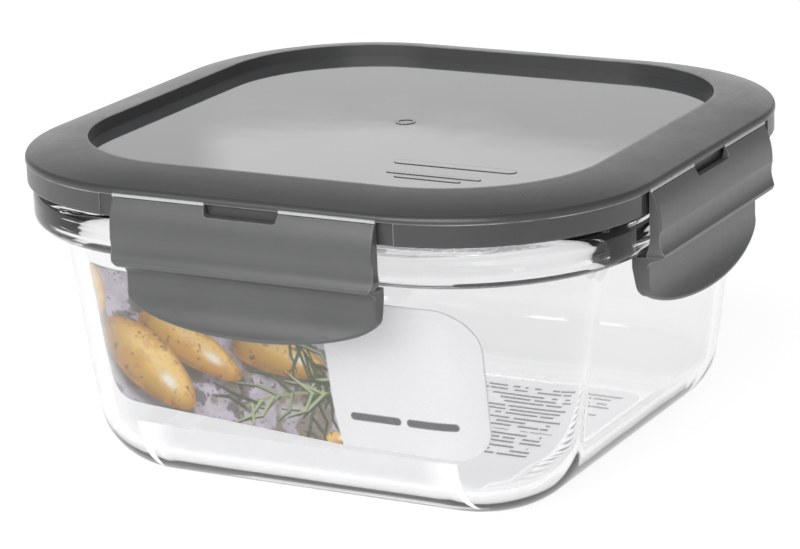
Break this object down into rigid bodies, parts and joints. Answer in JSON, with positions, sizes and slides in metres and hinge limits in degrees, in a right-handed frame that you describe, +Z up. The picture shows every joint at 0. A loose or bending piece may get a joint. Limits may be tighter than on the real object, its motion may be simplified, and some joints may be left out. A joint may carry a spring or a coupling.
{
  "type": "square glass food container with latched lid",
  "caption": "Square glass food container with rounded corners, a recessed plastic lid and a flip latch on each side that hooks under the glass rim.",
  "frame": {"origin": "centre of the foot ring's plane, on the surface that the container stands on", "axes": "+Z up through the lid; the front, with the label card, faces -Y; the right side faces +X"},
  "size_m": [0.1368, 0.1368, 0.0677],
  "materials": {
    "clear_glass": "clear, polished, heat-resistant pressed glass",
    "printed_card": "printed card with a satin coating",
    "matte_lid": "dark grey, fine matte texture",
    "gloss_lid": "dark grey, polished",
    "gasket": "soft dark grey silicone"
  },
  "bodies": {
    "bowl": {"glass_bowl": "clear_glass", "label_card": "printed_card"},
    "lid": {"lid_frame": "matte_lid", "lid_panel": "gloss_lid", "lid_gasket": "gasket", "front_living_hinge": "matte_lid", "right_living_hinge": "matte_lid", "back_living_hinge": "matte_lid", "left_living_hinge": "matte_lid"},
    "front_latch": {"front_latch": "matte_lid"},
    "right_latch": {"right_latch": "matte_lid"},
    "back_latch": {"back_latch": "matte_lid"},
    "left_latch": {"left_latch": "matte_lid"}
  },
  "joints": [
    {"name": "lid_lift", "type": "slide", "parent": "bowl", "child": "lid", "axis": [0, 0, 1], "range_m": [0, 0.12]},
    {"name": "front_latch_hinge", "type": "hinge", "parent": "lid", "child": "front_latch", "pos_m": [0, -0.066, 0.064], "axis": [-1, 0, 0], "range_deg": [0, 135]},
    {"name": "right_latch_hinge", "type": "hinge", "parent": "lid", "child": "right_latch", "pos_m": [0.066, 0, 0.064], "axis": [0, -1, 0], "range_deg": [0, 135]},
    {"name": "back_latch_hinge", "type": "hinge", "parent": "lid", "child": "back_latch", "pos_m": [0, 0.066, 0.064], "axis": [1, 0, 0], "range_deg": [0, 135]},
    {"name": "left_latch_hinge", "type": "hinge", "parent": "lid", "child": "left_latch", "pos_m": [-0.066, 0, 0.064], "axis": [0, 1, 0], "range_deg": [0, 135]}
  ]
}
